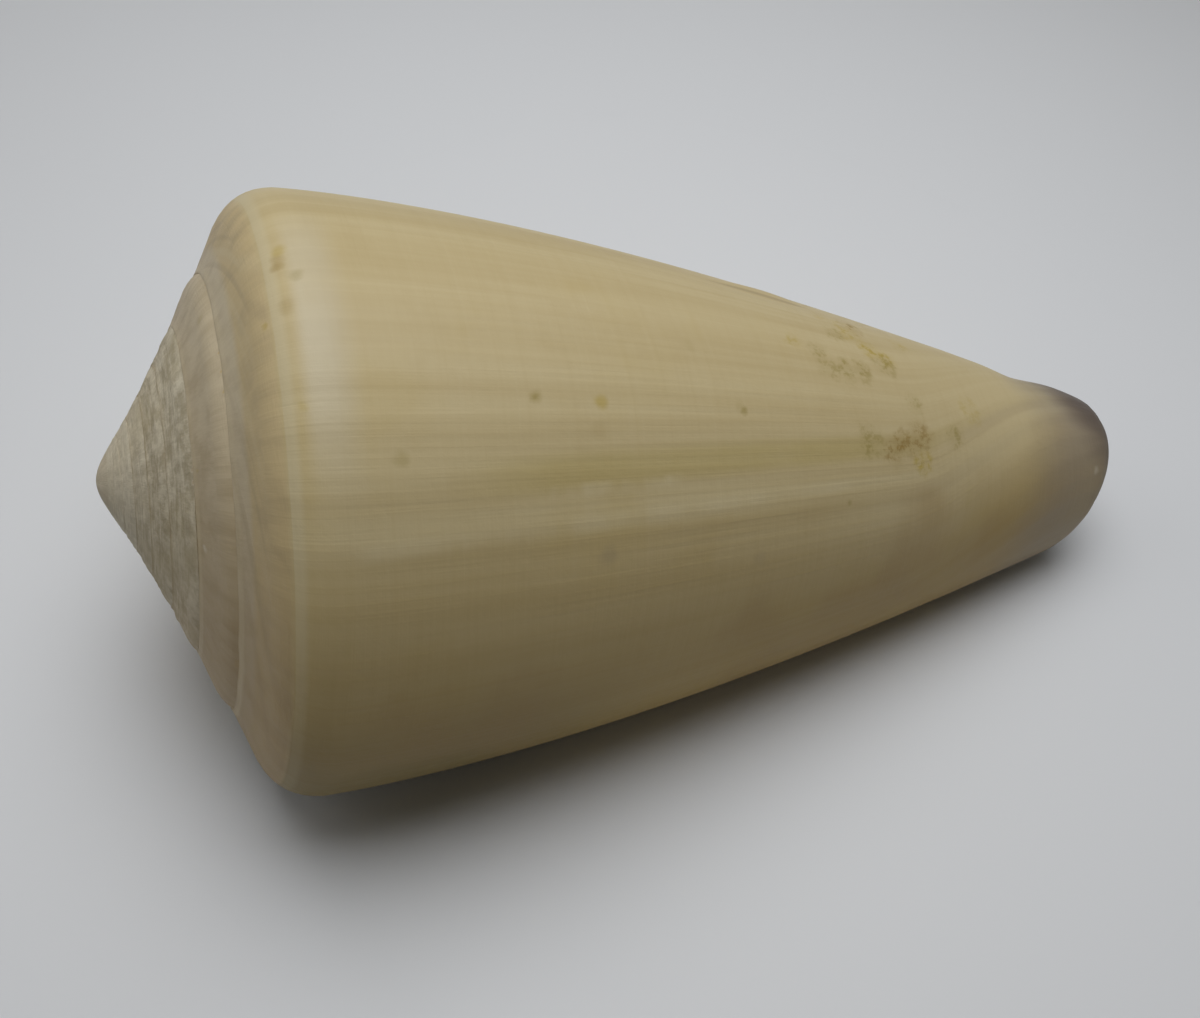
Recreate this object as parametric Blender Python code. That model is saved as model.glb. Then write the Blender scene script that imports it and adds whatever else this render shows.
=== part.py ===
"""A cone shell, lying on its aperture: one solid grown as a logarithmic spiral about its axis.

The shell is first made along +X with its apex at the origin. The growing lip is at lag 0, and what the
shell built earlier lies at a larger lag, one whorl back for every 360 degrees. It is then laid down on
the edge of its lip and on its body, with the origin on the surface, under the middle of its box.
"""

import math

import bmesh
import bpy
from mathutils import Matrix, Vector

# Driving dimensions of the shell, in metres, at the lip
SHELL_LENGTH = 0.105
SHOULDER_DEPTH = 0.0146
SHOULDER_RADIUS = 0.0299
SHOULDER_ROUND = 0.0037
SIDE_REACH = 0.1395
SIDE_BULGE = 0.0043
BULGE_SKEW = 0.725
WHORL_GROWTH = 1.35
SPIRE_WHORLS = 6
SUTURE_PLACE = 0.4
RAMP_SAG = 0.0002
APEX_DEPTH = 0.0006

# The front end, where the flank stops at the open canal
END_SLANT = 0.008
END_SLANT_LAG = 105.0
END_ROUND = 0.0006
PILLAR_RADIUS = 0.0026
PILLAR_TIP_RADIUS = 0.0016
PILLAR_TOP = 0.080
PILLAR_POINT = 0.0007
PILLAR_BLEND = 0.0012

# The wall, and the space inside it
LIP_WALL = 0.0019
BODY_WALL = 0.0028
END_WALL = 0.0015
WALL_GROWS_OVER = 60.0
GLAZE = 0.00025
LUMEN_TURN = 480.0
LEAST_GAP = 0.0003
PAST_END = 0.006
BISECTIONS = 30

# How it lies, in degrees: the lip's place from straight down towards -Y, and the tilt of the axis
LIP_ANGLE = 46.9
NOSE_DOWN = 9.9

# Facets
MERGE_DISTANCE = 1e-6
STEP = 7.5
LUMEN_STEP = 10.0
RAMP_POINTS = 3
SHOULDER_POINTS = 3
FLANK_POINTS = 15

SHELL_COLOUR = (0.60, 0.49, 0.29, 1.0)
SHELL_ROUGHNESS = 0.42


def scale_at(lag):
    """Size of the whorl at this lag, against its size at the lip."""
    return WHORL_GROWTH ** (-lag / 360.0)


def inward_normal(before, after):
    """Unit vector that points into the shell, across the outline's direction between two of its points."""
    return Vector((after.y - before.y, before.x - after.x)).normalized()


def lip_flank(depth):
    """Radius of the lip's flank at this depth from the apex."""
    part = (depth - SHOULDER_DEPTH) / (SIDE_REACH - SHOULDER_DEPTH)
    bulge = SIDE_BULGE * math.sin(math.pi * min(max(part, 0.0), 1.0) ** BULGE_SKEW)
    return SHOULDER_RADIUS * (1.0 - part) + bulge


def flank(depth, lag):
    """Radius of the outer surface below the shoulder, blended into the pillar that the whorls wind round."""
    whorl = scale_at(lag) * lip_flank(depth / scale_at(lag))
    part = min(max((depth - PILLAR_TOP) / (SHELL_LENGTH - PILLAR_TOP), 0.0), 1.2)
    pillar = PILLAR_RADIUS + (PILLAR_TIP_RADIUS - PILLAR_RADIUS) * part
    overlap = max(1.0 - abs(whorl - pillar) / PILLAR_BLEND, 0.0)
    return max(whorl, pillar) + PILLAR_BLEND * overlap**2 / 4.0


def shoulder(part):
    """Point (depth, radius) of the lip's rounded shoulder, from the ramp at 0 to the flank at 1."""
    corner = Vector((SHOULDER_DEPTH, SHOULDER_RADIUS))
    start = corner * (1.0 - SHOULDER_ROUND / corner.length)
    end_depth = SHOULDER_DEPTH + SHOULDER_ROUND
    end = Vector((end_depth, lip_flank(end_depth)))
    return start * (1.0 - part) ** 2 + corner * 2.0 * part * (1.0 - part) + end * part**2


def ramp_profile():
    """What shows of a whorl on the spire: from its suture to where the next whorl covers its shoulder."""
    suture = shoulder(SUTURE_PLACE) / WHORL_GROWTH
    top = shoulder(0.0)
    sag = inward_normal(suture, top) * RAMP_SAG
    points = []
    for i in range(RAMP_POINTS):
        part = i / RAMP_POINTS
        points.append(suture.lerp(top, part) + sag * math.sin(math.pi * part))
    for i in range(SHOULDER_POINTS):
        points.append(shoulder(SUTURE_PLACE * i / (SHOULDER_POINTS - 1)))
    return points


def flank_profile(lag, last):
    """The rest of the shoulder and the flank, down to the last depth."""
    size = scale_at(lag)
    points = []
    for i in range(1, SHOULDER_POINTS + 1):
        points.append(shoulder(SUTURE_PLACE + (1.0 - SUTURE_PLACE) * i / SHOULDER_POINTS) * size)
    first = points[-1].x
    for i in range(1, FLANK_POINTS):
        depth = first + (last - first) * i / (FLANK_POINTS - 1)
        points.append(Vector((depth, flank(depth, lag))))
    return points


def end_depth_at(lag):
    """How far the front margin reaches at this lag."""
    return SHELL_LENGTH - END_SLANT * (1.0 - math.cos(math.radians(lag - END_SLANT_LAG))) / 2.0


def first_whorl(lag):
    """The innermost whorl that is modelled: it starts from nothing round the apex cap and gains its full width."""
    points = [point * scale_at(lag + 360.0 * (SPIRE_WHORLS - 1)) for point in ramp_profile()]
    edge = points[-1]
    cap_radius = ramp_profile()[0].y * scale_at(360.0 * (SPIRE_WHORLS - 1))
    width = (edge.y - cap_radius) / (edge.y - points[0].y)
    return [edge + (point - edge) * width for point in points]


def body_section(lag):
    """The outer form in one half-plane through the axis: every whorl's ramp, then the last flank."""
    points = first_whorl(lag)
    for whorl in range(SPIRE_WHORLS - 2, -1, -1):
        size = scale_at(lag + 360.0 * whorl)
        points += [point * size for point in ramp_profile()]
    last = end_depth_at(lag)
    points += flank_profile(lag, last - END_ROUND)
    points.append(Vector((last, flank(last, lag) - END_ROUND)))
    return points


def wall_at(depth, lag):
    """Thickness of the wall: thinner at the lip's edge, in older whorls and towards the front end."""
    grown = min(max(lag, 0.0) / WALL_GROWS_OVER, 1.0)
    wall = (LIP_WALL + (BODY_WALL - LIP_WALL) * grown) * scale_at(lag)
    part = min(max((depth - SHOULDER_DEPTH) / (SHELL_LENGTH - SHOULDER_DEPTH), 0.0), 1.0)
    return wall + (END_WALL - wall) * part


def floor_of_lumen(depth, lag):
    """Radius of the wall that the space lies on: the whorl before, under a thin glaze."""
    return flank(depth, lag + 360.0) + GLAZE


def lumen_end(lag):
    """Depth where the space closes between the wall and the pillar, or a place past the shell's end."""
    low = SHELL_LENGTH / 2.0
    high = SHELL_LENGTH + PAST_END
    for _ in range(BISECTIONS):
        middle = (low + high) / 2.0
        gap = flank(middle, lag) - wall_at(middle, lag) - floor_of_lumen(middle, lag)
        if gap > LEAST_GAP:
            low = middle
        else:
            high = middle
    return high


def lumen_top(lag):
    """The underside of the ramp, from where it leaves the whorl before to the shoulder."""
    suture = ramp_profile()[0] * scale_at(lag)
    top = shoulder(0.0) * scale_at(lag)
    offset = inward_normal(suture, top) * wall_at(top.x, lag)
    low = 0.0
    high = 1.0
    for _ in range(BISECTIONS):
        middle = (low + high) / 2.0
        point = suture.lerp(top, middle) + offset
        if point.y > floor_of_lumen(point.x, lag):
            high = middle
        else:
            low = middle
    return [suture.lerp(top, high + (1.0 - high) * i / RAMP_POINTS) + offset for i in range(RAMP_POINTS)]


def lumen_section(lag):
    """The space inside the last whorl, in one half-plane: out along the wall and back along its floor."""
    outline = [shoulder(0.0) * scale_at(lag), shoulder(SUTURE_PLACE) * scale_at(lag)]
    outline += flank_profile(lag, lumen_end(lag))
    wall_side = lumen_top(lag)
    for before, here, after in zip(outline, outline[1:], outline[2:] + outline[-1:]):
        wall_side.append(here + inward_normal(before, after) * wall_at(here.x, lag))
    floor_side = [Vector((point.x, floor_of_lumen(point.x, lag))) for point in wall_side[:0:-1]]
    return wall_side + floor_side


def place(point, lag):
    """A section's point (depth, radius) at its lag round the axis."""
    turn = math.radians(LIP_ANGLE + lag)
    return Vector((point.x, -point.y * math.sin(turn), -point.y * math.cos(turn)))


def loft(bm, sections, closed):
    """Rows of vertices, one for each (lag, section), with faces between neighbouring rows."""
    rows = [[bm.verts.new(place(point, lag)) for point in section] for lag, section in sections]
    count = len(rows[0])
    for near, far in zip(rows, rows[1:]):
        for i in range(count if closed else count - 1):
            j = (i + 1) % count
            bm.faces.new((near[i], near[j], far[j], far[i]))
    return rows


def new_object(name, bm, collection):
    bmesh.ops.triangulate(bm, faces=bm.faces[:])
    bmesh.ops.recalc_face_normals(bm, faces=bm.faces[:])
    mesh = bpy.data.meshes.new(name)
    bm.to_mesh(mesh)
    bm.free()
    obj = bpy.data.objects.new(name, mesh)
    collection.objects.link(obj)
    return obj


def make_body(collection):
    """The closed outer form, with a flat step where the lip stands off the whorl before it."""
    bm = bmesh.new()
    lags = [i * STEP for i in range(round(360.0 / STEP) + 1)]
    rows = loft(bm, [(lag, body_section(lag)) for lag in lags], closed=False)
    lip, before = rows[0], rows[-1]
    ramp = (SPIRE_WHORLS - 1) * len(ramp_profile())
    first = SPIRE_WHORLS * len(ramp_profile())
    bm.faces.new(lip[ramp : first + 1] + [before[first]])
    for i in range(first, len(lip) - 1):
        bm.faces.new((lip[i], lip[i + 1], before[i + 1], before[i]))
    bmesh.ops.remove_doubles(bm, verts=bm.verts[:], dist=MERGE_DISTANCE)
    border = [edge for edge in bm.edges if edge.is_boundary]
    caps = bmesh.ops.holes_fill(bm, edges=border, sides=0)["faces"]
    caps.sort(key=lambda face: face.calc_center_median().x)
    for cap, depth in zip(caps, (APEX_DEPTH, end_depth_at(0.0) + PILLAR_POINT)):
        centre = bmesh.ops.poke(bm, faces=[cap])["verts"][0]
        centre.co = (depth, 0.0, 0.0)
    return new_object("shell", bm, collection)


def make_lumen(collection):
    """The space that the animal lived in, from just in front of the lip back round the axis."""
    bm = bmesh.new()
    lags = [i * LUMEN_STEP for i in range(-1, round(LUMEN_TURN / LUMEN_STEP) + 1)]
    rows = loft(bm, [(lag, lumen_section(lag)) for lag in lags], closed=True)
    for row in (rows[0], rows[-1]):
        bm.faces.new((row[0], row[1], row[-1]))
        for i in range(1, len(row) // 2):
            bm.faces.new((row[i], row[i + 1], row[-i - 1], row[-i]))
    cutter = new_object("lumen", bm, collection)
    cutter.hide_render = True
    cutter.display_type = "WIRE"
    return cutter


def lay_down(body, others):
    """Turns all as the shell lies, sets it on the surface, and puts the origin under the middle of its box."""
    turn = Matrix.Rotation(math.radians(NOSE_DOWN), 4, "Y")
    corners = [turn @ vertex.co for vertex in body.data.vertices]
    low = [min(corner[i] for corner in corners) for i in range(3)]
    high = [max(corner[i] for corner in corners) for i in range(3)]
    lift = Matrix.Translation((-(low[0] + high[0]) / 2.0, -(low[1] + high[1]) / 2.0, -low[2]))
    for obj in [body] + others:
        obj.data.transform(lift @ turn)


def shell_material():
    material = bpy.data.materials.new("shell")
    material.use_nodes = True
    surface = material.node_tree.nodes["Principled BSDF"]
    surface.inputs["Base Color"].default_value = SHELL_COLOUR
    surface.inputs["Roughness"].default_value = SHELL_ROUGHNESS
    surface.inputs["Metallic"].default_value = 0.0
    return material


def main():
    for obj in list(bpy.data.objects):
        bpy.data.objects.remove(obj)
    parts = bpy.data.collections.new("cone shell")
    cutters = bpy.data.collections.new("cutters")
    bpy.context.scene.collection.children.link(parts)
    bpy.context.scene.collection.children.link(cutters)
    body = make_body(parts)
    lumen = make_lumen(cutters)
    cut = body.modifiers.new("aperture", "BOOLEAN")
    cut.operation = "DIFFERENCE"
    cut.object = lumen
    cut.solver = "EXACT"
    body.data.materials.append(shell_material())
    body.data.shade_smooth()
    body.data.set_sharp_from_angle(angle=math.radians(35.0))
    lay_down(body, [lumen])


main()
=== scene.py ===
"""A cone shell lying on its aperture on a pale table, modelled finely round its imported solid."""

import math

import bpy
import numpy as np
from mathutils import Matrix, Vector, noise


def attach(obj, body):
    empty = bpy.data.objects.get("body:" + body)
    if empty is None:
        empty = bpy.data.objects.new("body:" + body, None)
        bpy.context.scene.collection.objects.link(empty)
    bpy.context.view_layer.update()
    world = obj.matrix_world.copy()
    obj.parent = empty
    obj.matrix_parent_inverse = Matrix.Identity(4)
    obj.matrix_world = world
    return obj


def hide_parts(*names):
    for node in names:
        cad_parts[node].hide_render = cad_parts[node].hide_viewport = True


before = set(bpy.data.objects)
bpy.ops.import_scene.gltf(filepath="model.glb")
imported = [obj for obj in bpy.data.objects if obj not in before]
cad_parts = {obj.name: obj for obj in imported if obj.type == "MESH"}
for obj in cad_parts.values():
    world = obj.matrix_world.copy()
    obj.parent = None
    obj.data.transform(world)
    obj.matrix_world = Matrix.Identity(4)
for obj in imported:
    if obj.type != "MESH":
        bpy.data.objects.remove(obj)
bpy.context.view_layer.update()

# Form of the shell at its lip, in metres, as the solid has it
SHELL_LENGTH = 0.105
SHOULDER_DEPTH = 0.0146
SHOULDER_RADIUS = 0.0299
SHOULDER_ROUND = 0.0037
SIDE_REACH = 0.1395
SIDE_BULGE = 0.0043
BULGE_SKEW = 0.725
WHORL_GROWTH = 1.35
SPIRE_WHORLS = 8
SUTURE_PLACE = 0.4

# The worn apex is rounded over, and the cone is a little fuller round it
APEX_ROUND = 0.001
APEX_FULLNESS = 0.9
APEX_FULL_TO = 0.0022

# The front end
END_SLANT = 0.008
END_SLANT_LAG = 105.0
END_ROUND = 0.0009
END_ROUND_SHARE = 0.45
PILLAR_RADIUS = 0.0026
PILLAR_TIP_RADIUS = 0.0016
PILLAR_TOP = 0.080
PILLAR_PAST_END = 1.2
PILLAR_POINT = 0.0007
PILLAR_BLEND = 0.0012

# The wall and its lip
LIP_WALL = 0.0019
BODY_WALL = 0.0028
END_WALL = 0.0015
WALL_GROWS_OVER = 60.0
LIP_OUTER_RADIUS = 0.025
LIP_OUTER_ROUND = 0.0004
LIP_INNER_RADIUS = 0.020
LIP_INNER_ROUND = 0.0011
LIP_INNER_REACH = 0.0036
GLAZE_EDGE = 0.00005
GLAZE = 0.00025
GLAZE_GROWS_OVER = 40.0
LUMEN_TURN = 480.0
LEAST_GAP = 0.0003
PAST_END = 0.006

# How it lies
LIP_ANGLE = 46.9
NOSE_DOWN = 9.9

# Relief of the surface. Waves of noise: how fine along the growth, across it, and the seed
SUTURE_WELT = 0.00006
SUTURE_WELT_PLACE = -0.96
SUTURE_WELT_WIDTH = 0.06
GROWTH_RELIEF = 0.00006
LONG_WAVES = (46.0, 1.2, 1.0)
BROAD_WAVES = (17.0, 0.8, 4.0)
BROAD_WAVE_SHARE = 0.6
WEAR_RELIEF = 0.00016
WEAR_WAVES = (22.0, 4.0, 9.0)
WEAR_TURNS = (1.0, 2.2)
WEAR_SIZE = 1.5
SPIRE_WEAR = 0.6
SPIRE_WEAR_TURNS = (1.7, 2.5)
RELIEF_END_TURNS = (SPIRE_WHORLS - 1.1, SPIRE_WHORLS - 1.6)

# A waist and a swelling behind the tip: height, depth and its reach, lag and its reach
TIP_WAIST = (-0.0003, 0.0945, 0.0028, 150.0, 45.0)
TIP_SWELLING = (0.00025, 0.1005, 0.0030, 140.0, 50.0)

# A flake that stands up on the far side of the top
FLAKE_DEPTH = 0.0618
FLAKE_REACH = 0.0045
FLAKE_LAG = 150.6
FLAKE_HEIGHT = 0.0003
FLAKE_CREST = (2.5, 3.0)
FLAKE_GROOVE = (-2.0, 2.0)
GROOVE_SHARE = 0.5

# Where growth once paused: its edge in degrees back, and how far it leans with depth and place
PAUSE_LAG = 78.0
PAUSE_LEAN = 90.0
PAUSE_PLACE_LEAN = 9.5
PAUSE_STEP = 0.00004
PAUSE_WIDTH = 2.0
PAUSE_LIP_LAG = 60.0
PAUSE_FROM_DEPTHS = (0.014, 0.024)
PAUSE_TO_DEPTHS = (0.075, 0.055)

# The growth lines lean back towards the front end, by this much of a turn
LINE_LEAN = 0.095
LEAN_DEPTHS = (0.073, 0.102)

# How fine the mesh is: points of the outlines, and the lags of the half-planes that they lie in
HALVINGS = 30
MERGE_DISTANCE = 2e-6
SLIVER_WIDTH = 6e-6
SMOOTH_BELOW = 40.0
APEX_RINGS = (0.12, 0.24, 0.38, 0.54, 0.7, 0.84, 0.94)
DOME_POINTS = 1 + len(APEX_RINGS)
RAMP_PARTS = (0.0, 0.02, 0.05, 0.1, 0.17, 0.26, 0.38, 0.52, 0.68, 0.84)
SHOULDER_PARTS = (0.0, 0.14, 0.27, SUTURE_PLACE)
SHOULDER_REST_POINTS = 6
FLANK_POINTS = 116
END_POINTS = 5
OUTSIDE_LIP_LAGS = (0.0, 0.06, 0.15, 0.28, 0.45, 0.7, 1.0, 1.5, 2.1, 2.9, 3.9)
OUTSIDE_LAGS = (5.0, 360.0, 262)
LUMEN_LIP_LAGS = (-10.0, -5.0, -2.0, 0.0, 0.4, 0.8, 1.3, 2.0, 3.0, 4.2, 5.6, 7.2)
LUMEN_LAGS = (9.0, LUMEN_TURN, 158)
LUMEN_ROOF_POINTS = 8
LUMEN_BEND_POINTS = 9
LUMEN_SIDE_POINTS = 66

# The growth map: turns back from the lip, and a place. The place runs from -1 at a whorl's suture
# to 0 at the ramp's outer edge, on round the shoulder to SIDE_PLACE, then down the side. It is
# INSIDE_PLACE and more in the space inside
SHOULDER_PLACES = 0.3
SIDE_PLACE = SUTURE_PLACE * SHOULDER_PLACES
SIDE_DEPTH = 0.0131
INSIDE_PLACE = 5.0

# Colours
CREAM = (0.62, 0.515, 0.295, 1.0)
PALE = (0.7, 0.61, 0.4, 1.0)
TAN = (0.515, 0.405, 0.205, 1.0)
OCHRE = (0.55, 0.425, 0.175, 1.0)
# Painted shade of the low side, over the later shell's own darker tone
SHADED_TAN = (0.37, 0.227, 0.02, 1.0)
# Painted shade for the low corner by the shoulder
CORNER_SHADE = (0.22, 0.16, 0.05, 1.0)
BAND_OLIVE = (0.47, 0.37, 0.13, 1.0)
RAMP_GREY = (0.64, 0.55, 0.385, 1.0)
RAMP_BROWN = (0.63, 0.5, 0.275, 1.0)
RAMP_DARK = (0.4, 0.315, 0.19, 1.0)
# Painted shade for the ramps' low side, also laid in patches on the later shell
RAMP_SHADED = (0.36, 0.235, 0.085, 1.0)
WORN_DARK = (0.43, 0.375, 0.26, 1.0)
WORN_PALE = (0.72, 0.66, 0.51, 1.0)
OCHRE_GREY = (0.5, 0.43, 0.27, 1.0)
SHOULDER_PALE = (0.64, 0.555, 0.355, 1.0)
APEX_PALE = (0.78, 0.72, 0.58, 1.0)
# Painted highlight colour
SIDE_HIGHLIGHT = (0.68, 0.64, 0.52, 1.0)
TIP_GREY = (0.32, 0.27, 0.205, 1.0)
TIP_VIOLET = (0.13, 0.1, 0.082, 1.0)
LINING = (0.78, 0.74, 0.66, 1.0)
LINING_WARM = (0.72, 0.64, 0.50, 1.0)
RUST = (0.33, 0.215, 0.06, 1.0)
MOSS = (0.32, 0.245, 0.06, 1.0)
MUSTARD = (0.47, 0.345, 0.06, 1.0)
CHIP = (0.76, 0.72, 0.60, 1.0)
TABLE_COOL = (0.74, 0.76, 0.79, 1.0)
TABLE_PALE = (0.77, 0.79, 0.82, 1.0)
ROOM_WARM = (1.0, 0.95, 0.84, 1.0)

# Patterns on the growth map: how fine along the growth, across it, detail, roughness and seed
FINE_LINES = (210.0, 2.5, 3.0, 0.6, 3.0)
STREAKS = (52.0, 1.4, 3.0, 0.55, 5.0)
BROAD_BANDS = (8.0, 1.6, 2.0, 0.5, 7.0)
SWAY = (9.0, 5.0, 2.0, 0.5, 17.0)
RINGS = (4.0, 150.0, 3.0, 0.6, 11.0)
BREAKS = (12.0, 16.0, 3.0, 0.6, 19.0)
RAMP_ARCS = (30.0, 0.5, 2.0, 0.5, 21.0)
WORN_STREAKS = (22.0, 7.0, 4.0, 0.6, 15.0)
FRONT_BREAKS = (20.0, 6.0, 3.0, 0.5, 31.0)
WRINKLES = (120.0, 60.0, 3.0, 0.6, 27.0)

# Patterns in space: scale, detail and roughness
BLOTCHES = (55.0, 4.0, 0.6)
SMUDGES = (140.0, 4.0, 0.65)
LATER_PATCHES = (38.0, 3.0, 0.6)
WORN_HOLLOWS = (700.0, 4.0, 0.7)
WORN_CLOUDS = (130.0, 3.0, 0.55)
FLECKS = (1200.0, 5.0, 0.65)
JITTER_SCALE = 800.0

# Where the layers lie. Two values: from nothing at the first to full at the second. Four values:
# full from the second to the third, and nothing beyond the first and the fourth
CALM_PLACES = (0.62, 0.85)
# The later shell, darkened partly by its own tone and partly by painted shade
SHADED_LATER_SHELL = (2.0, -45.0)
PAUSE_EDGE = (1.5, -2.5)
PAUSE_EDGE_WEAK = (0.5, 0.8)
# Where the low corner's painted shade lies
CORNER_SHADE_PAUSE = (-20.0, -55.0)
CORNER_SHADE_PLACES = (0.5, 0.24)
PATCHED_SHELL = (0.0, -8.0)
PALE_LINE = (-1.8, 0.2, 1.0, 3.2)
PALE_LINE_PLACES = (0.14, 0.18, 0.5, 0.75)
OLIVE_BAND = (5.5, 9.0, 11.5, 15.5)
OLIVE_PLACES = (0.22, 0.33, 0.6, 0.85)
PALE_PATCH = (5.0, 6.6, 7.4, 9.0)
PALE_PATCH_PLACES = (0.27, 0.31, 0.42, 0.46)
# Where the dark line of painted shade lies near the front end
FOLD_SHADE_TURNS = (0.238, 0.248, 0.252, 0.264)
FOLD_SHADE_PLACES = (0.70, 0.80, 0.88, 0.93)
RAMP_PLACES = (0.122, 0.085)
RAMP_BROWN_PLACES = (-0.62, -0.40)
OLDER_TURNS = (0.92, 1.08)
WORN_TURNS = (1.75, 2.2)
WORN_SUTURE = (-0.85, -0.98)
WELT_PLACES = (-1.0, -0.95, -0.89, -0.80)
# The low side, where the ramps get painted shade
LOW_SIDE_HEIGHTS = (0.048, 0.020)
APEX_TURNS = (3.2, 5.5)
SHOULDER_EDGE = (0.112, 0.120, 0.124, 0.130)
# Where the painted highlight lies below the shoulder
SIDE_HIGHLIGHT_PLACES = (0.130, 0.142, 0.155, 0.182)
SIDE_HIGHLIGHT_TURNS = (0.22, 0.29, 0.36, 0.42)
FLAKE_SHADOW = (-2.6, -1.8, -1.4, -0.4)
FLAKE_SHADOW_DEPTHS = (0.054, 0.059, 0.0655, 0.068)
TIP_UPPER_TURNS = (0.02, 0.27)
TIP_GREY_PLACES = (0.80, 0.91)
TIP_VIOLET_PLACES = (0.949, 1.002)

# Small marks: place and radius in millimetres, strength and colour
SPOT_BREAKUP = 0.0008
SPOTS = (
    ((-15.40, -10.29, 42.40), 0.85, 0.50, MOSS),
    ((-15.40, -10.29, 42.40), 0.40, 0.30, MOSS),
    ((-9.77, -10.04, 40.39), 0.95, 0.55, MUSTARD),
    ((3.96, -8.80, 35.23), 0.60, 0.85, MOSS),
    ((3.60, -8.60, 35.40), 0.80, 0.16, MOSS),
    ((-27.06, -15.30, 43.14), 1.0, 0.30, MOSS),
    ((-10.42, -12.11, 39.47), 1.2, 0.12, RUST),
    ((-11.03, -19.64, 32.23), 1.3, 0.42, RAMP_DARK),
    ((3.83, -18.13, 25.90), 1.1, 0.25, RAMP_DARK),
    ((14.15, -13.78, 26.02), 0.5, 0.42, MOSS),
    ((0.16, -3.53, 38.68), 1.0, 0.10, MOSS),
    ((-33.45, 2.39, 49.74), 0.9, 0.40, MUSTARD),
    ((-33.91, 0.52, 49.67), 0.8, 0.45, RUST),
    ((-33.70, 1.40, 49.70), 0.9, 0.30, RUST),
    ((-32.51, -0.82, 49.80), 0.9, 0.35, MOSS),
    ((-33.58, -3.59, 49.37), 1.1, 0.25, RUST),
    ((-35.68, -4.36, 48.26), 0.5, 0.45, MUSTARD),
    ((-40.79, 3.90, 42.13), 0.8, 0.25, MOSS),
    ((-33.66, -11.73, 46.65), 0.6, 0.25, MUSTARD),
    ((-43.13, -12.19, 32.19), 0.55, 0.45, CHIP),
    ((-42.71, -7.56, 36.65), 0.35, 0.50, MUSTARD),
    ((-50.77, -0.51, 26.70), 0.3, 0.60, CHIP),
    ((48.78, -5.83, 13.32), 0.7, 0.25, CHIP),
)
STAIN_BREAKUP = 0.0022
STAINS = (
    ((11.71, -0.34, 34.09), 1.2, 0.55, MUSTARD),
    ((17.61, 2.24, 31.32), 1.3, 0.80, MOSS),
    ((16.95, 5.55, 30.87), 2.0, 0.45, OCHRE),
    ((20.54, 4.44, 29.51), 1.9, 0.75, RUST),
    ((19.40, 3.40, 30.20), 2.4, 0.65, MUSTARD),
    ((21.14, 1.24, 29.74), 1.9, 0.85, MUSTARD),
    ((22.60, 0.40, 29.10), 1.8, 0.75, MUSTARD),
    ((25.75, 3.37, 27.23), 1.4, 0.50, MUSTARD),
    ((14.36, -0.92, 32.85), 1.8, 0.50, MOSS),
    ((14.53, -2.78, 32.54), 1.9, 0.65, MOSS),
    ((16.80, -2.73, 31.51), 2.0, 0.70, MOSS),
    ((18.81, -2.27, 30.66), 1.9, 0.70, MOSS),
    ((21.98, -0.88, 29.34), 1.9, 0.65, MOSS),
    ((17.51, -9.16, 28.52), 2.4, 0.60, MOSS),
    ((20.17, -9.26, 27.04), 2.1, 0.90, RUST),
    ((20.90, -8.90, 26.90), 1.4, 0.70, RUST),
    ((22.30, -8.40, 26.60), 2.2, 0.75, RUST),
    ((23.99, -7.66, 26.14), 2.2, 0.70, RUST),
    ((23.69, -9.75, 24.75), 1.8, 0.80, MUSTARD),
    ((24.29, -4.65, 27.43), 1.6, 0.45, MOSS),
    ((28.22, -6.91, 24.39), 1.7, 0.65, MOSS),
    ((31.38, -3.91, 24.16), 2.2, 0.35, MUSTARD),
)

# The photograph's point of view, from a fit of the shell's outline and sutures
FOCAL_PIXELS = 1400.0
PHOTO_WIDTH = 1200.0
SENSOR_WIDTH = 36.0
CAMERA_PLACE = (-0.035564, -0.085103, 0.124759)
CAMERA_RIGHT = (0.96476, -0.2539, 0.06906)
CAMERA_AHEAD = (0.21146, 0.59197, -0.77773)


def smooth(value):
    """0 below 0, 1 above 1, and an even ease between."""
    value = np.clip(value, 0.0, 1.0)
    return value * value * (3.0 - 2.0 * value)


def ease(value, nothing, full):
    """0 up to the first value, 1 from the second on, whichever is higher, and an even ease between."""
    return smooth((value - nothing) / (full - nothing))


def dip(distance, reach):
    """1 in the middle, falling evenly to nothing beyond the reach."""
    return np.exp(-((distance / reach) ** 2))


def scale_at(lag):
    """Size of the whorl this many degrees back from the lip, against its size at the lip."""
    return WHORL_GROWTH ** (-lag / 360.0)


def lip_flank(depth):
    """Radius of the lip's flank at this depth from the apex."""
    part = (depth - SHOULDER_DEPTH) / (SIDE_REACH - SHOULDER_DEPTH)
    bulge = SIDE_BULGE * np.sin(np.pi * np.clip(part, 0.0, 1.0) ** BULGE_SKEW)
    return SHOULDER_RADIUS * (1.0 - part) + bulge


def flank(depth, lag):
    """Radius of the outer surface below the shoulder, blended into the pillar at the axis."""
    whorl = scale_at(lag) * lip_flank(depth / scale_at(lag))
    part = np.clip((depth - PILLAR_TOP) / (SHELL_LENGTH - PILLAR_TOP), 0.0, PILLAR_PAST_END)
    pillar = PILLAR_RADIUS + (PILLAR_TIP_RADIUS - PILLAR_RADIUS) * part
    overlap = np.maximum(1.0 - np.abs(whorl - pillar) / PILLAR_BLEND, 0.0)
    return np.maximum(whorl, pillar) + PILLAR_BLEND * overlap**2 / 4.0


def shoulder(part):
    """Points (depth, radius) of the lip's rounded shoulder, from the ramp at 0 to the flank at 1."""
    corner = np.array((SHOULDER_DEPTH, SHOULDER_RADIUS))
    start = corner * (1.0 - SHOULDER_ROUND / np.hypot(*corner))
    end_depth = SHOULDER_DEPTH + SHOULDER_ROUND
    end = np.array((end_depth, lip_flank(end_depth)))
    part = np.atleast_1d(part)[:, None]
    return start * (1.0 - part) ** 2 + corner * 2.0 * part * (1.0 - part) + end * part**2


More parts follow.
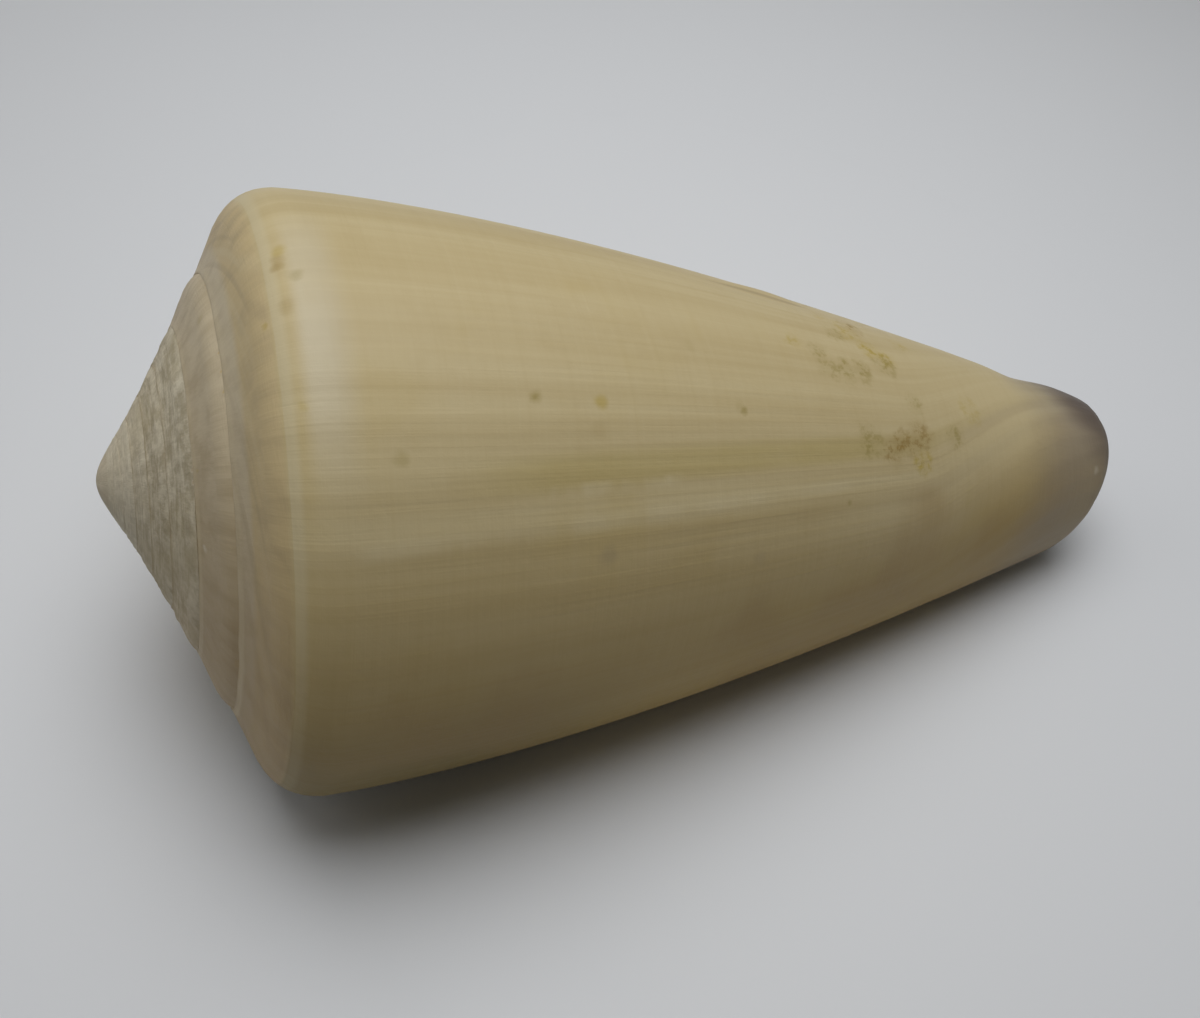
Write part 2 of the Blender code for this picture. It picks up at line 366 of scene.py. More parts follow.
def outward(points):
    """Unit vectors that point out of the shell, across the outline through these points."""
    ahead = np.gradient(points, axis=0)
    normal = np.stack([-ahead[:, 1], ahead[:, 0]], axis=1)
    return normal / np.maximum(np.linalg.norm(normal, axis=1, keepdims=True), 1e-12)


def ramp_profile():
    """One whorl's ramp and upper shoulder at lip size, and the places of its points."""
    suture = shoulder(SUTURE_PLACE)[0] / WHORL_GROWTH
    top = shoulder(0.0)[0]
    part = np.array(RAMP_PARTS)[:, None]
    ramp = suture + (top - suture) * part
    points = np.concatenate([ramp, shoulder(np.array(SHOULDER_PARTS))])
    place = np.concatenate([np.array(RAMP_PARTS) - 1.0, np.array(SHOULDER_PARTS) * SHOULDER_PLACES])
    return points, place


def end_depth_at(lag):
    """How far the front margin reaches at this lag."""
    return SHELL_LENGTH - END_SLANT * (1.0 - math.cos(math.radians(lag - END_SLANT_LAG))) / 2.0


def spire_ring(ramp, whorl, lag, cap_radius):
    """The ramp of one whorl of the spire in a half-plane, flattened by wear where it is old."""
    ring = ramp * scale_at(lag + 360.0 * whorl)
    if whorl == SPIRE_WHORLS - 1:
        edge = ring[-1]
        width = (edge[1] - cap_radius) / (edge[1] - ring[0, 1])
        ring = edge + (ring - edge) * width
    run = ring[-1] - ring[0]
    chord = ring[0] + run * ((ring - ring[0]) @ run / max(run @ run, 1e-12))[:, None]
    return ring + (chord - ring) * SPIRE_WEAR * ease(lag / 360.0 + whorl, *SPIRE_WEAR_TURNS)


def body_section(lag):
    """The last whorl from its shoulder down to the rounded front margin, in a half-plane."""
    last = end_depth_at(lag)
    rest = shoulder(np.linspace(SUTURE_PLACE, 1.0, SHOULDER_REST_POINTS)[1:]) * scale_at(lag)
    start = rest[-1, 0]
    depths = start + (last - END_ROUND - start) * np.linspace(0.0, 1.0, FLANK_POINTS)[1:]
    side = np.stack([depths, flank(depths, lag)], axis=1)
    bend = np.linspace(0.0, math.pi / 2.0, END_POINTS + 1)[1:]
    tip_radius = flank(last, lag)
    inset = min(END_ROUND, tip_radius * END_ROUND_SHARE)
    turned_depths = last - END_ROUND + END_ROUND * np.sin(bend)
    turned = np.stack([turned_depths, tip_radius - inset * (1.0 - np.cos(bend))], axis=1)
    return np.concatenate([rest, side, turned])


def outer_section(lag):
    """The outer form in one half-plane: points (depth, radius), their turns back and their place."""
    ramp, ramp_place = ramp_profile()
    cap_radius = ramp[0, 1] * scale_at(360.0 * (SPIRE_WHORLS - 1))
    points = []
    places = []
    turns = []
    for whorl in range(SPIRE_WHORLS - 1, -1, -1):
        points.append(spire_ring(ramp, whorl, lag, cap_radius))
        places.append(ramp_place)
        turns.append(np.full(len(ramp), lag / 360.0 + whorl))
    body = body_section(lag)
    places.append(SIDE_PLACE + (body[:, 0] - points[-1][-1, 0]) / SHELL_LENGTH)
    turns.append(lag / 360.0 - LINE_LEAN * ease(body[:, 0], *LEAN_DEPTHS))
    points.append(body)
    return np.concatenate(points), np.concatenate(turns), np.concatenate(places)


def waves(turns, places, along, across, seed):
    """Soft noise on the growth map, at each point of a section."""
    return np.array([noise.noise(Vector((t * along, p * across, seed))) for t, p in zip(turns, places)])


def swelling(form, depth, lag):
    """A low rise or hollow of this form."""
    height, at_depth, depth_reach, at_lag, lag_reach = form
    return height * dip(depth - at_depth, depth_reach) * dip(lag - at_lag, lag_reach)


def relief(points, turns, places, lag):
    """How far the surface stands out or in at each point of a section."""
    depth = points[:, 0]
    size = scale_at(turns * 360.0)
    welt = SUTURE_WELT * dip(places - SUTURE_WELT_PLACE, SUTURE_WELT_WIDTH) * (places < 0.0)
    growth = waves(turns, places, *LONG_WAVES) + BROAD_WAVE_SHARE * waves(turns, places, *BROAD_WAVES)
    pits = WEAR_RELIEF * ease(turns, *WEAR_TURNS) * waves(turns, places, *WEAR_WAVES)
    crest_at, crest_reach = FLAKE_CREST
    groove_at, groove_reach = FLAKE_GROOVE
    crest = dip(lag - FLAKE_LAG - crest_at, crest_reach)
    groove = dip(lag - FLAKE_LAG - groove_at, groove_reach)
    flake = FLAKE_HEIGHT * (crest - GROOVE_SHARE * groove) * dip(depth - FLAKE_DEPTH, FLAKE_REACH)
    past_pause = turns * 360.0 - PAUSE_LAG - depth * PAUSE_LEAN
    pause = PAUSE_STEP * ease(past_pause, PAUSE_WIDTH, 0.0) * ease(lag, 0.0, PAUSE_LIP_LAG)
    pause = pause * ease(depth, *PAUSE_FROM_DEPTHS) * ease(depth, *PAUSE_TO_DEPTHS)
    tip = swelling(TIP_WAIST, depth, lag) + swelling(TIP_SWELLING, depth, lag)
    own = (places > SIDE_PLACE) * (tip + flake + pause)
    return (welt + GROWTH_RELIEF * growth) * size + pits * np.minimum(size * WEAR_SIZE, 1.0) + own


def rounded_off(distance, reach, depth):
    """How far an edge is drawn in at this distance from it, along a quarter of an ellipse."""
    part = np.clip(1.0 - distance / reach, 0.0, 1.0)
    return depth * (1.0 - math.sqrt(1.0 - part**2))


def wall_at(depth, lag):
    """Thickness of the wall: thinner at the lip, in older whorls and towards the front end."""
    grown = min(max(lag, 0.0) / WALL_GROWS_OVER, 1.0)
    wall = (LIP_WALL + (BODY_WALL - LIP_WALL) * grown) * scale_at(lag)
    part = np.clip((depth - SHOULDER_DEPTH) / (SHELL_LENGTH - SHOULDER_DEPTH), 0.0, 1.0)
    from_lip = math.radians(max(lag, 0.0)) * LIP_INNER_RADIUS
    return wall + (END_WALL - wall) * part - rounded_off(from_lip, LIP_INNER_REACH, LIP_INNER_ROUND)


def floor_of_lumen(depth, lag):
    """Radius of the wall that the space lies on: the whorl before, under a thin glaze."""
    glaze = GLAZE_EDGE + (GLAZE - GLAZE_EDGE) * float(smooth(lag / GLAZE_GROWS_OVER))
    return flank(depth, lag + 360.0) + glaze


def bisect(low, high, is_high):
    """The value between the two at which the test turns true."""
    for _ in range(HALVINGS):
        middle = (low + high) / 2.0
        if is_high(middle):
            high = middle
        else:
            low = middle
    return high


def lumen_section(lag):
    """The space inside the last whorl: its points out along the wall, and below them along the floor."""
    end = bisect(
        SHELL_LENGTH / 2.0,
        SHELL_LENGTH + PAST_END,
        lambda depth: flank(depth, lag) - wall_at(depth, lag) - floor_of_lumen(depth, lag) <= LEAST_GAP,
    )
    suture = shoulder(SUTURE_PLACE)[0] / WHORL_GROWTH * scale_at(lag)
    top = shoulder(0.0)[0] * scale_at(lag)
    ahead = (top - suture) / np.linalg.norm(top - suture)
    inward = np.array((ahead[1], -ahead[0])) * wall_at(top[0], lag)

    def under_ramp(part):
        return suture + (top - suture) * part + inward

    first = bisect(0.0, 1.0, lambda part: under_ramp(part)[1] > floor_of_lumen(under_ramp(part)[0], lag))
    roof_parts = [i / LUMEN_ROOF_POINTS for i in range(LUMEN_ROOF_POINTS)]
    roof = np.array([under_ramp(first + (1.0 - first) * part) for part in roof_parts])
    bend = shoulder(np.linspace(0.0, 1.0, LUMEN_BEND_POINTS)) * scale_at(lag)
    depths = bend[-1, 0] + (end - bend[-1, 0]) * np.linspace(0.0, 1.0, LUMEN_SIDE_POINTS)[1:]
    side = np.concatenate([bend, np.stack([depths, flank(depths, lag)], axis=1)])
    wall = side - outward(side) * wall_at(side[:, 0], lag)[:, None]
    wall = np.concatenate([roof, wall])
    floor = np.stack([wall[:, 0], floor_of_lumen(wall[:, 0], lag)], axis=1)
    return wall, floor


def closed_ring(out, back):
    """Points out along one line and back along another, to where they began."""
    return np.concatenate([out, back[:0:-1], out[:1]])


def middle_of_lumen(lag):
    """A flat ring half-way between the wall and the floor, on which an end of the space closes."""
    wall, floor = lumen_section(lag)
    middle = (wall + floor) / 2.0
    return closed_ring(middle, middle)


def around(points, lag):
    """Points (depth, radius) at this lag round the axis."""
    turn = math.radians(LIP_ANGLE + lag)
    return np.stack([points[:, 0], -points[:, 1] * math.sin(turn), -points[:, 1] * math.cos(turn)], axis=1)


def dome(edge):
    """Points from the apex out to the first whorl."""
    return edge * np.array((0.0,) + APEX_RINGS)[:, None]


def blunted(points):
    """The same points with the sharp apex rounded over and the cone a little fuller round it."""
    depths = np.hypot(points[:, 0], APEX_ROUND)
    depths -= APEX_FULLNESS * APEX_ROUND * dip(points[:, 0], APEX_FULL_TO)
    return np.stack([depths, points[:, 1]], axis=1)


def select_only(obj):
    bpy.ops.object.select_all(action="DESELECT")
    obj.select_set(True)
    bpy.context.view_layer.objects.active = obj


def sheet(name, rows, maps):
    """A grid primitive whose rows of points are laid on these rows, with the growth map on its faces."""
    across = len(rows[0]) - 1
    along = len(rows) - 1
    bpy.ops.object.select_all(action="DESELECT")
    bpy.ops.mesh.primitive_grid_add(x_subdivisions=across, y_subdivisions=along, size=1.0)
    obj = bpy.context.object
    obj.name = name
    mesh = obj.data
    at = np.empty(len(mesh.vertices) * 3, np.float32)
    mesh.vertices.foreach_get("co", at)
    at = at.reshape(-1, 3)
    column = np.rint((at[:, 0] + 0.5) * across).astype(int)
    row = np.rint((at[:, 1] + 0.5) * along).astype(int)
    placed = np.array(rows)[row, column]
    mesh.vertices.foreach_set("co", placed.astype(np.float32).ravel())
    corners = np.empty(len(mesh.loops), np.int32)
    mesh.loops.foreach_get("vertex_index", corners)
    marks = np.array(maps)[row, column]
    mesh.uv_layers.active.name = "growth"
    mesh.uv_layers.active.data.foreach_set("uv", marks[corners].astype(np.float32).ravel())
    return obj


def clean_up(obj, sliver_width):
    """Joins the points that meet, takes out slivers and turns every face outwards."""
    select_only(obj)
    bpy.ops.object.mode_set(mode="EDIT")
    bpy.ops.mesh.select_all(action="SELECT")
    bpy.ops.mesh.remove_doubles(threshold=MERGE_DISTANCE)
    bpy.ops.mesh.dissolve_degenerate(threshold=sliver_width)
    bpy.ops.mesh.delete_loose()
    bpy.ops.mesh.select_all(action="SELECT")
    bpy.ops.mesh.normals_make_consistent(inside=False)
    bpy.ops.object.mode_set(mode="OBJECT")


def outside_row(lag):
    """One half-plane of the outside, from the apex to the pillar's point, and its growth map."""
    points, turns, places = outer_section(lag)
    drawn_in = rounded_off(math.radians(lag) * LIP_OUTER_RADIUS, LIP_OUTER_ROUND, LIP_OUTER_ROUND)
    push = relief(points, turns, places, lag) - drawn_in * (turns < 1.0)
    push *= ease(turns, *RELIEF_END_TURNS)
    push[-END_POINTS:] = 0.0
    points = points + outward(points) * push[:, None]
    points = np.vstack([dome(points[0]), points, [(end_depth_at(0.0) + PILLAR_POINT, 0.0)]])
    marks = np.stack([turns, places], axis=1)
    crown = [(turns[0], -1.0)] * DOME_POINTS
    return around(blunted(points), lag), np.vstack([crown, marks, marks[-1:]])


def make_outside():
    """The outer form, closed by a step in the plane where the lip stands off the whorl before it."""
    lags = [*OUTSIDE_LIP_LAGS, *np.linspace(*OUTSIDE_LAGS)]
    rows, maps = [list(both) for both in zip(*[outside_row(lag) for lag in lags])]
    step = rows[0].copy()
    whorl = len(RAMP_PARTS) + len(SHOULDER_PARTS)
    ramp = DOME_POINTS + (SPIRE_WHORLS - 1) * whorl
    body = ramp + whorl
    step[ramp:body] = rows[-1][body - 1]
    step[body:] = rows[-1][body:]
    obj = sheet("shell_skin", [step, *rows], [maps[0], *maps])
    clean_up(obj, MERGE_DISTANCE)
    return obj


def make_inside():
    """The space that the animal lived in, from just in front of the lip back round the axis."""
    lags = [*LUMEN_LIP_LAGS, *np.linspace(*LUMEN_LAGS)]
    rows = [around(middle_of_lumen(lags[0]), lags[0] - 1.0)]
    maps = []
    for lag in lags:
        ring = closed_ring(*lumen_section(lag))
        rows.append(around(ring, lag))
        place = INSIDE_PLACE + ring[:, 0] / SHELL_LENGTH
        maps.append(np.stack([np.full(len(ring), lag / 360.0), place], axis=1))
    rows.append(around(middle_of_lumen(lags[-1]), lags[-1] + 1.0))
    obj = sheet("lumen", rows, [maps[0], *maps, maps[-1]])
    clean_up(obj, MERGE_DISTANCE)
    return obj


def lay_down(obj):
    """Turns the shell as it lies and sets it in the solid's box, and gives the move it made."""
    turn = Matrix.Rotation(math.radians(NOSE_DOWN), 4, "Y")
    obj.data.transform(turn)
    corners = np.array([vertex.co for vertex in obj.data.vertices])
    low = corners.min(axis=0)
    high = corners.max(axis=0)
    lift = Matrix.Translation((-(low[0] + high[0]) / 2.0, -(low[1] + high[1]) / 2.0, -low[2]))
    obj.data.transform(lift)
    return lift @ turn


def cut_out(obj, space):
    """Cuts the space out of the shell."""
    cut = obj.modifiers.new("aperture", "BOOLEAN")
    cut.operation = "DIFFERENCE"
    cut.object = space
    cut.solver = "EXACT"
    select_only(obj)
    bpy.ops.object.modifier_apply(modifier=cut.name)
    bpy.data.objects.remove(space)


def dissolve_idle_points(obj):
    """Takes out the points that a cut leaves in the middle of an edge, which would give slivers."""
    select_only(obj)
    bpy.ops.object.mode_set(mode="EDIT")
    bpy.ops.mesh.select_all(action="DESELECT")
    bpy.ops.mesh.select_mode(type="VERT")
    bpy.ops.object.mode_set(mode="OBJECT")
    mesh = obj.data
    edge_ends = np.empty(len(mesh.edges) * 2, np.int32)
    mesh.edges.foreach_get("vertices", edge_ends)
    edges_at = np.bincount(edge_ends, minlength=len(mesh.vertices))
    mesh.vertices.foreach_set("select", edges_at == 2)
    bpy.ops.object.mode_set(mode="EDIT")
    bpy.ops.mesh.dissolve_verts()
    bpy.ops.object.mode_set(mode="OBJECT")


def make_shell():
    """The whole shell, lying as in the photograph."""
    obj = make_outside()
    lumen = make_inside()
    lumen.data.transform(lay_down(obj))
    cut_out(obj, lumen)
    clean_up(obj, SLIVER_WIDTH)
    dissolve_idle_points(obj)
    bpy.ops.object.shade_smooth_by_angle(angle=math.radians(SMOOTH_BELOW))
    return obj


class Wire:
    """A value or colour in a material, on which sums are written as plain expressions."""

    def __init__(self, paint, socket):
        self.paint = paint
        self.socket = socket

    def _sum(self, operation, first, second):
        return self.paint.node("ShaderNodeMath", {"operation": operation}, {0: first, 1: second})

    def __add__(self, other):
        return self._sum("ADD", self, other)

    __radd__ = __add__

    def __sub__(self, other):
        return self._sum("SUBTRACT", self, other)

    def __rsub__(self, other):
        return self._sum("SUBTRACT", other, self)

    def __mul__(self, other):
        return self._sum("MULTIPLY", self, other)

    __rmul__ = __mul__


class Paint:
    """A material made of nodes."""

    def __init__(self, name):
        self.material = bpy.data.materials.new(name)
        self.material.use_nodes = True
        self.tree = self.material.node_tree
        self.surface = self.tree.nodes["Principled BSDF"]
        self.here = self.node("ShaderNodeTexCoord", {}, {}, "Object")

    def node(self, kind, settings, inputs, output=0):
        """A node of this kind: its settings first, then its sockets' values or links."""
        made = self.tree.nodes.new(kind)
        for key, value in settings.items():
            setattr(made, key, value)
        for key, value in inputs.items():
            self.feed(made.inputs[key], value)
        return Wire(self, made.outputs[output])

    def feed(self, socket, value):
        if isinstance(value, Wire):
            self.tree.links.new(value.socket, socket)
        else:
            socket.default_value = value

    def mix(self, amount, first, second):
        """The second colour over the first, by this amount."""
        return self.node("ShaderNodeMix", {"data_type": "RGBA"}, {0: amount, 6: first, 7: second}, 2)

    def between(self, value, nothing, full):
        """0 at the first value and 1 at the second, with an even ease, whichever of them is higher."""
        return self.node(
            "ShaderNodeMapRange",
            {"interpolation_type": "SMOOTHSTEP"},
            {"Value": value, "From Min": nothing, "From Max": full, "To Min": 0.0, "To Max": 1.0},
        )

    def band(self, value, first, full_from, full_to, last):
        """1 between the two middle values, easing to 0 at the first and the last."""
        return self.between(value, first, full_from) * self.between(value, last, full_to)

    def part(self, vector, axis):
        """One of a vector's three parts."""
        return self.node("ShaderNodeSeparateXYZ", {}, {0: vector}, axis)

    def cloud(self, scale, detail, rough):
        """Noise in space."""
        sockets = {"Vector": self.here, "Scale": scale, "Detail": detail, "Roughness": rough}
        return self.node("ShaderNodeTexNoise", {}, sockets)

    def grain(self, turns, place, along, across, detail, rough, seed):
        """Noise on the growth map, as fine as asked along the growth's turns and across them."""
        where = self.node("ShaderNodeCombineXYZ", {}, {0: turns * along, 1: place * across, 2: seed})
        sockets = {"Vector": where, "Scale": 1.0, "Detail": detail, "Roughness": rough}
        return self.node("ShaderNodeTexNoise", {}, sockets)


class ShellPaint(Paint):
    """The shell's material: its colour in layers, from the growth lines out to the small marks."""

    def __init__(self):
        super().__init__("shell")
        growth = self.node("ShaderNodeUVMap", {"uv_map": "growth"}, {})
        self.turns = self.part(growth, 0)
        self.place = self.part(growth, 1)
        self.fine = self.grain(self.turns, self.place, *FINE_LINES)
        self.streaks = self.grain(self.turns, self.place, *STREAKS)
        self.broad = self.grain(self.turns, self.place, *BROAD_BANDS)
        self.sway = self.grain(self.turns, self.place, *SWAY)
        self.rings = self.grain(self.turns, self.place + self.sway * 0.012, *RINGS)
        self.broken = self.grain(self.turns, self.place, *BREAKS)
        self.blotch = self.cloud(*BLOTCHES)
        self.hollows = self.cloud(*WORN_HOLLOWS)
        self.calm = 1.0 - 0.65 * self.between(self.place, *CALM_PLACES)
        self.older = self.between(self.turns, *OLDER_TURNS)
        self.worn = self.between(self.turns, *WORN_TURNS)
        self.low_side = self.between(self.part(self.here, 2), *LOW_SIDE_HEIGHTS)
        self.colour = CREAM

    def lay(self, amount, colour):
        """Lays a colour over what is there, by this amount."""
        self.colour = self.mix(amount, self.colour, colour)

    def growth_lines(self):
        """Fine lines and broad bands along the growth, faint rings across it, and soft blotches."""
        self.lay(self.between(self.streaks, 0.35, 0.68) * 0.5 * self.calm, TAN)
        self.lay(self.between(self.broad, 0.48, 0.72) * 0.45, PALE)
        self.lay(self.between(self.fine, 0.45, 0.7) * 0.2 * self.calm, TAN)
        self.lay(self.between(self.rings, 0.48, 0.7) * (0.03 + 0.16 * self.broken), TAN)
        self.lay(self.between(self.rings, 0.5, 0.3) * 0.05, PALE)
        self.lay(self.between(self.cloud(*SMUDGES), 0.52, 0.72) * 0.22, TAN)
        self.lay(self.between(self.blotch, 0.5, 0.7) * 0.3, OCHRE)

    def growth_pause(self):
        """Below the pause the later shell is darker and browner, partly its own colour and partly painted
        shade on this low side, with painted shade in the corner by the shoulder and in patches. Above it
        there are a pale line, an olive band and pale patches, and near the front end a dark line of
        painted shade."""
        place = self.place
        pause = self.turns * 360.0 - PAUSE_LAG - (place - SIDE_PLACE) * PAUSE_PLACE_LEAN
        step = self.between(pause, *PAUSE_EDGE) * (1.0 - 0.4 * self.between(place, *PAUSE_EDGE_WEAK))
        # The later shell lies on the low side: its darkening is partly its own colour, partly painted
        # shade
        self.lay(0.14 * step + 0.52 * self.between(pause, *SHADED_LATER_SHELL), SHADED_TAN)
        # Painted shade in the low corner by the shoulder
        corner = self.between(pause, *CORNER_SHADE_PAUSE) * self.between(place, *CORNER_SHADE_PLACES)
        self.lay(corner * 0.85, CORNER_SHADE)
        # Patches of painted shade on the later shell
        patches = self.between(self.cloud(*LATER_PATCHES), 0.48, 0.66)
        self.lay(patches * self.between(pause, *PATCHED_SHELL) * 0.4, RAMP_SHADED)
        line = self.band(pause, *PALE_LINE) * self.band(place, *PALE_LINE_PLACES)
        self.lay(line * self.between(self.broken, 0.3, 0.6) * 0.32, PALE)
        band = self.band(pause, *OLIVE_BAND) * self.band(place, *OLIVE_PLACES)
        self.lay(band * (0.3 + 0.4 * self.broken), BAND_OLIVE)
        patch = self.band(pause, *PALE_PATCH) * self.band(place, *PALE_PATCH_PLACES)
        self.lay(patch * self.between(self.broken, 0.44, 0.68) * 0.6, PALE)
        # A dark line of painted shade along the growth near the front end
        fold_shade = self.band(self.turns, *FOLD_SHADE_TURNS) * self.band(place, *FOLD_SHADE_PLACES)
        self.lay(fold_shade * 0.3, RAMP_DARK)

    def ramps(self):
        """The ramp of each whorl: grey by the suture, brown towards the shoulder, and grey all
        over in the older whorls, with painted shade on their low side. The oldest are chalky, with dark
        hollows and dark sutures."""
        ramp = self.between(self.place, *RAMP_PLACES)
        ramp = self.node("ShaderNodeMath", {"operation": "MAXIMUM"}, {0: ramp, 1: self.older})
        arcs = self.grain(self.turns + self.place * 0.12, self.place, *RAMP_ARCS)
        paint = self.mix(self.between(self.place, *RAMP_BROWN_PLACES), RAMP_GREY, RAMP_BROWN)
        paint = self.mix(self.between(self.streaks, 0.4, 0.7) * 0.35, paint, RAMP_DARK)
        paint = self.mix(self.between(arcs, 0.5, 0.68) * 0.35, paint, RAMP_DARK)
        paint = self.mix(self.between(arcs, 0.48, 0.3) * 0.25, paint, PALE)
        self.lay(ramp, paint)
        self.lay(self.older, self.mix(self.between(self.streaks, 0.35, 0.7) * 0.5, RAMP_GREY, RAMP_DARK))

        streaked = self.grain(self.turns, self.place, *WORN_STREAKS)
        chalky = self.between(self.hollows * 0.5 + streaked * 0.5, 0.38, 0.62)
        chalk = self.mix(chalky, WORN_DARK, WORN_PALE)
        chalk = self.mix(self.between(self.cloud(*WORN_CLOUDS), 0.45, 0.65) * 0.5, chalk, OCHRE_GREY)
        self.lay(self.worn, chalk)
        suture = self.between(self.place, *WORN_SUTURE) * self.worn
        self.lay(suture * (0.25 + 0.55 * self.between(self.broken, 0.4, 0.6)), RAMP_DARK)
        # Painted shade on the ramps' low side, less on the worn whorls
        self.lay(ramp * self.low_side * (0.75 - 0.48 * self.worn), RAMP_SHADED)
        self.lay(self.between(self.turns, *APEX_TURNS) * 0.38, APEX_PALE)
        welt = self.band(self.place, *WELT_PLACES) * (0.1 + 0.5 * self.low_side * self.broken)
        self.lay(welt * (1.0 - 0.9 * self.worn), PALE)

    def shoulder_edge(self):
        """The shoulder's pale edge, fainter on the low side, and a painted highlight on a stretch of the
        side below it.
        """
        edge = self.band(self.place, *SHOULDER_EDGE) * (1.0 - self.older)
        self.lay(edge * (0.65 - 0.5 * self.low_side), SHOULDER_PALE)
        # A painted highlight, pale and broken, on the side below the shoulder
        side_highlight = self.band(self.place, *SIDE_HIGHLIGHT_PLACES) * self.band(self.turns, *SIDE_HIGHLIGHT_TURNS)
        self.lay(side_highlight * (0.15 + 0.4 * self.broken), SIDE_HIGHLIGHT)

    def flake_shadow(self):
        """The dark line along the flake."""
        depth = (self.place - SIDE_PLACE) * SHELL_LENGTH + SIDE_DEPTH
        from_flake = self.turns * 360.0 - FLAKE_LAG - self.sway * 2.0
        shadow = self.band(from_flake, *FLAKE_SHADOW) * self.band(depth, *FLAKE_SHADOW_DEPTHS)
        self.lay(shadow * 0.6, RAMP_DARK)

    def front_end(self):
        """The grey and violet front end, darkest on its upper side."""
        breaks = self.grain(self.turns, self.place, *FRONT_BREAKS)
        upper = self.between(self.turns, *TIP_UPPER_TURNS)
        place = self.place + (breaks - 0.5) * 0.05
        greyed = self.between(place - 0.05 * upper, *TIP_GREY_PLACES)
        self.lay(greyed * (0.6 + 0.35 * upper), TIP_GREY)
        violet = self.between(place + 0.034 * upper, *TIP_VIOLET_PLACES)
        self.lay(violet * (0.3 + 0.65 * upper), TIP_VIOLET)

    def spot(self, where, centre, radius):
        """1 at a place given in millimetres, easing to 0 at the radius."""
        centre = [number / 1000.0 for number in centre]
        sockets = {0: where, 1: centre}
        away = self.node("ShaderNodeVectorMath", {"operation": "DISTANCE"}, sockets, "Value")
        return self.between(away, radius / 1000.0, radius * 0.2 / 1000.0)

    def small_marks(self):
        """Spots with soft ragged edges, and stains that are broken up into flecks."""
        sockets = {"Vector": self.here, "Scale": JITTER_SCALE, "Detail": 3.0}
        jitter = self.node("ShaderNodeTexNoise", {}, sockets, "Color")
        sockets = {0: jitter, 1: (0.5, 0.5, 0.5)}
        jitter = self.node("ShaderNodeVectorMath", {"operation": "SUBTRACT"}, sockets)

        def ragged(reach):
            """Where a point lies once it is moved about by up to this reach."""
            sockets = {0: jitter, 1: (reach, reach, reach), 2: self.here}
            return self.node("ShaderNodeVectorMath", {"operation": "MULTIPLY_ADD"}, sockets)

        where = ragged(SPOT_BREAKUP)
        for centre, radius, strength, colour in SPOTS:
            self.lay(self.spot(where, centre, radius) * strength, colour)
        where = ragged(STAIN_BREAKUP)
        flecked = 0.25 + 0.75 * self.between(self.cloud(*FLECKS), 0.46, 0.62)
        for centre, radius, strength, colour in STAINS:
            self.lay(self.spot(where, centre, radius) * flecked * strength, colour)

    def lining(self):
        """The pale lining of the space inside."""
        inside = self.between(self.place, INSIDE_PLACE - 2.0, INSIDE_PLACE - 1.9)
        self.lay(inside, self.mix(self.between(self.broad, 0.4, 0.7), LINING, LINING_WARM))

    def finish(self):
        """How glossy the surface is, and its fine relief."""
        rough = 0.40 + 0.10 * self.streaks + 0.22 * self.worn + 0.05 * self.blotch
        self.feed(self.surface.inputs["Roughness"], rough)
        self.surface.inputs["Specular IOR Level"].default_value = 0.3
        wrinkles = self.grain(self.turns + self.place * 0.35, self.place, *WRINKLES)
        height = (self.fine * 0.5 + self.streaks * 0.35) * self.calm + self.rings * 0.24
        height = height + wrinkles * 0.28 + self.hollows * (self.worn * 1.6)
        sockets = {"Strength": 0.34, "Distance": 0.0003, "Height": height}
        self.feed(self.surface.inputs["Normal"], self.node("ShaderNodeBump", {}, sockets))


def shell_paint():
    paint = ShellPaint()
    paint.growth_lines()
    paint.growth_pause()
    paint.ramps()
    paint.shoulder_edge()
    paint.flake_shadow()
    paint.front_end()
    paint.small_marks()
    paint.lining()
    paint.feed(paint.surface.inputs["Base Color"], paint.colour)
    paint.finish()
    return paint.material


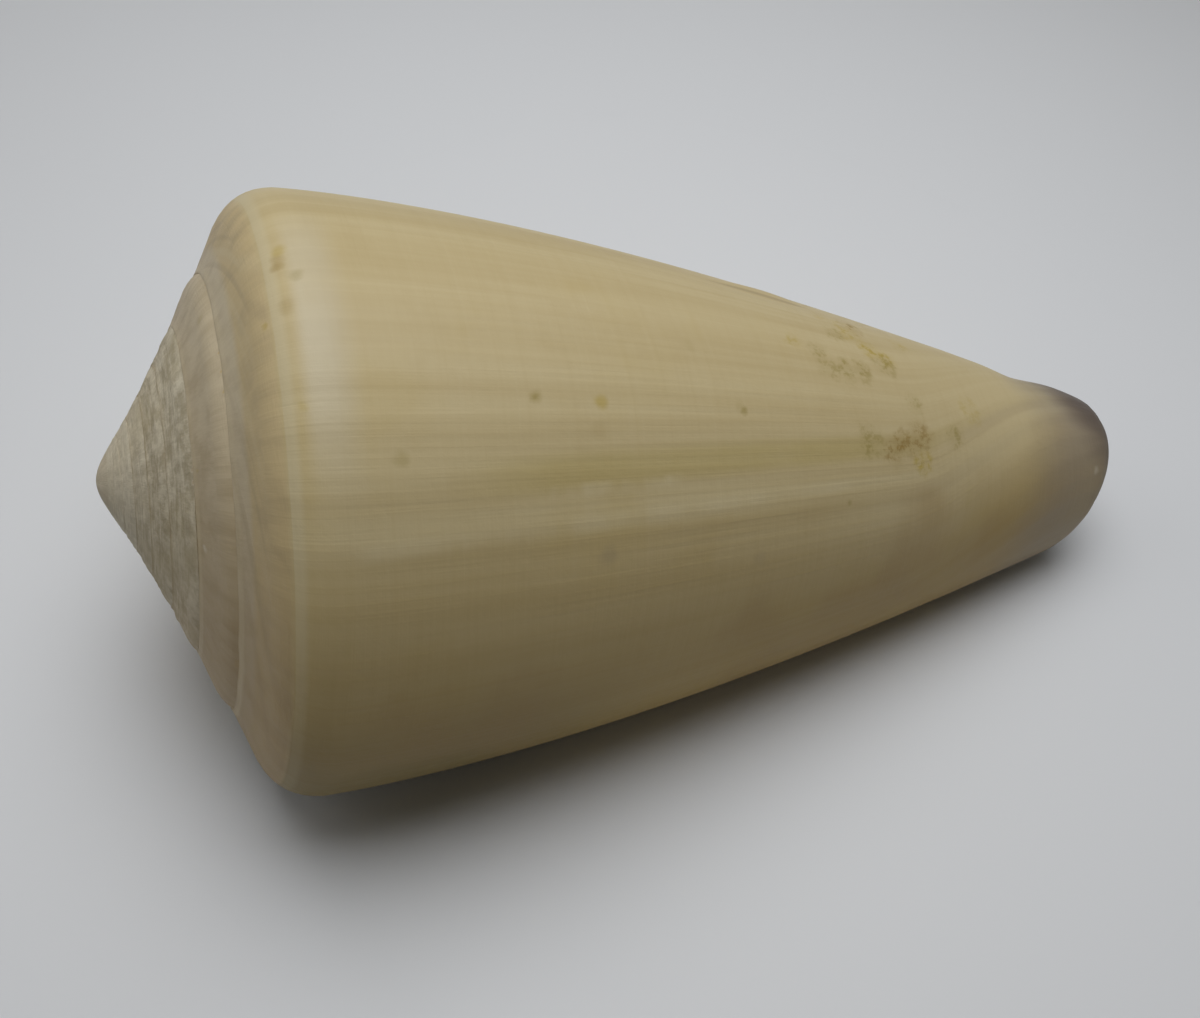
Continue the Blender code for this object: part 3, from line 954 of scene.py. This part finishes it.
def make_table():
    """A pale plane under the shell."""
    bpy.ops.object.select_all(action="DESELECT")
    bpy.ops.mesh.primitive_plane_add(size=3.0, location=(0.0, 0.0, 0.0))
    floor = bpy.context.object
    floor.name = "table_top"
    paint = Paint("table top")
    colour = paint.mix(paint.cloud(9.0, 2.0, 0.5), TABLE_COOL, TABLE_PALE)
    paint.feed(paint.surface.inputs["Base Color"], colour)
    paint.surface.inputs["Roughness"].default_value = 0.6
    floor.data.materials.append(paint.material)


def add_light(name, place, target, size, power, spread):
    """A square lamp at a place, turned to a target, with its spread in degrees."""
    bpy.ops.object.select_all(action="DESELECT")
    bpy.ops.object.light_add(type="AREA", location=place)
    lamp = bpy.context.object
    lamp.name = name
    lamp.data.size = size
    lamp.data.energy = power
    lamp.data.spread = math.radians(spread)
    aim = Vector(target) - Vector(place)
    lamp.rotation_euler = aim.to_track_quat("-Z", "Y").to_euler()


def add_camera():
    camera = bpy.data.cameras.new("view")
    camera.sensor_fit = "HORIZONTAL"
    camera.sensor_width = SENSOR_WIDTH
    camera.lens = SENSOR_WIDTH * FOCAL_PIXELS / PHOTO_WIDTH
    camera.clip_start = 0.005
    holder = bpy.data.objects.new("view", camera)
    bpy.context.scene.collection.objects.link(holder)
    right = Vector(CAMERA_RIGHT).normalized()
    ahead = Vector(CAMERA_AHEAD).normalized()
    up = right.cross(ahead).normalized()
    turned = Matrix((right, up, -ahead)).transposed().to_4x4()
    holder.matrix_world = Matrix.Translation(CAMERA_PLACE) @ turned
    bpy.context.scene.camera = holder


def light_room():
    """Faint warm light from all round."""
    world = bpy.context.scene.world or bpy.data.worlds.new("room")
    bpy.context.scene.world = world
    world.use_nodes = True
    background = world.node_tree.nodes["Background"]
    background.inputs["Color"].default_value = ROOM_WARM
    background.inputs["Strength"].default_value = 0.06
    bpy.context.scene.view_settings.view_transform = "Standard"


shell = make_shell()
shell.data.materials.clear()
shell.data.materials.append(shell_paint())
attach(shell, "root")
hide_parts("shell")

make_table()
add_light("window", (0.017, 0.057, 0.31), (0.01, 0.017, 0.0), size=0.28, power=0.264, spread=94.0)
add_light("side", (-0.42, 0.18, 0.35), (0.0, 0.0, 0.02), size=0.4, power=0.34, spread=180.0)
add_camera()
light_room()
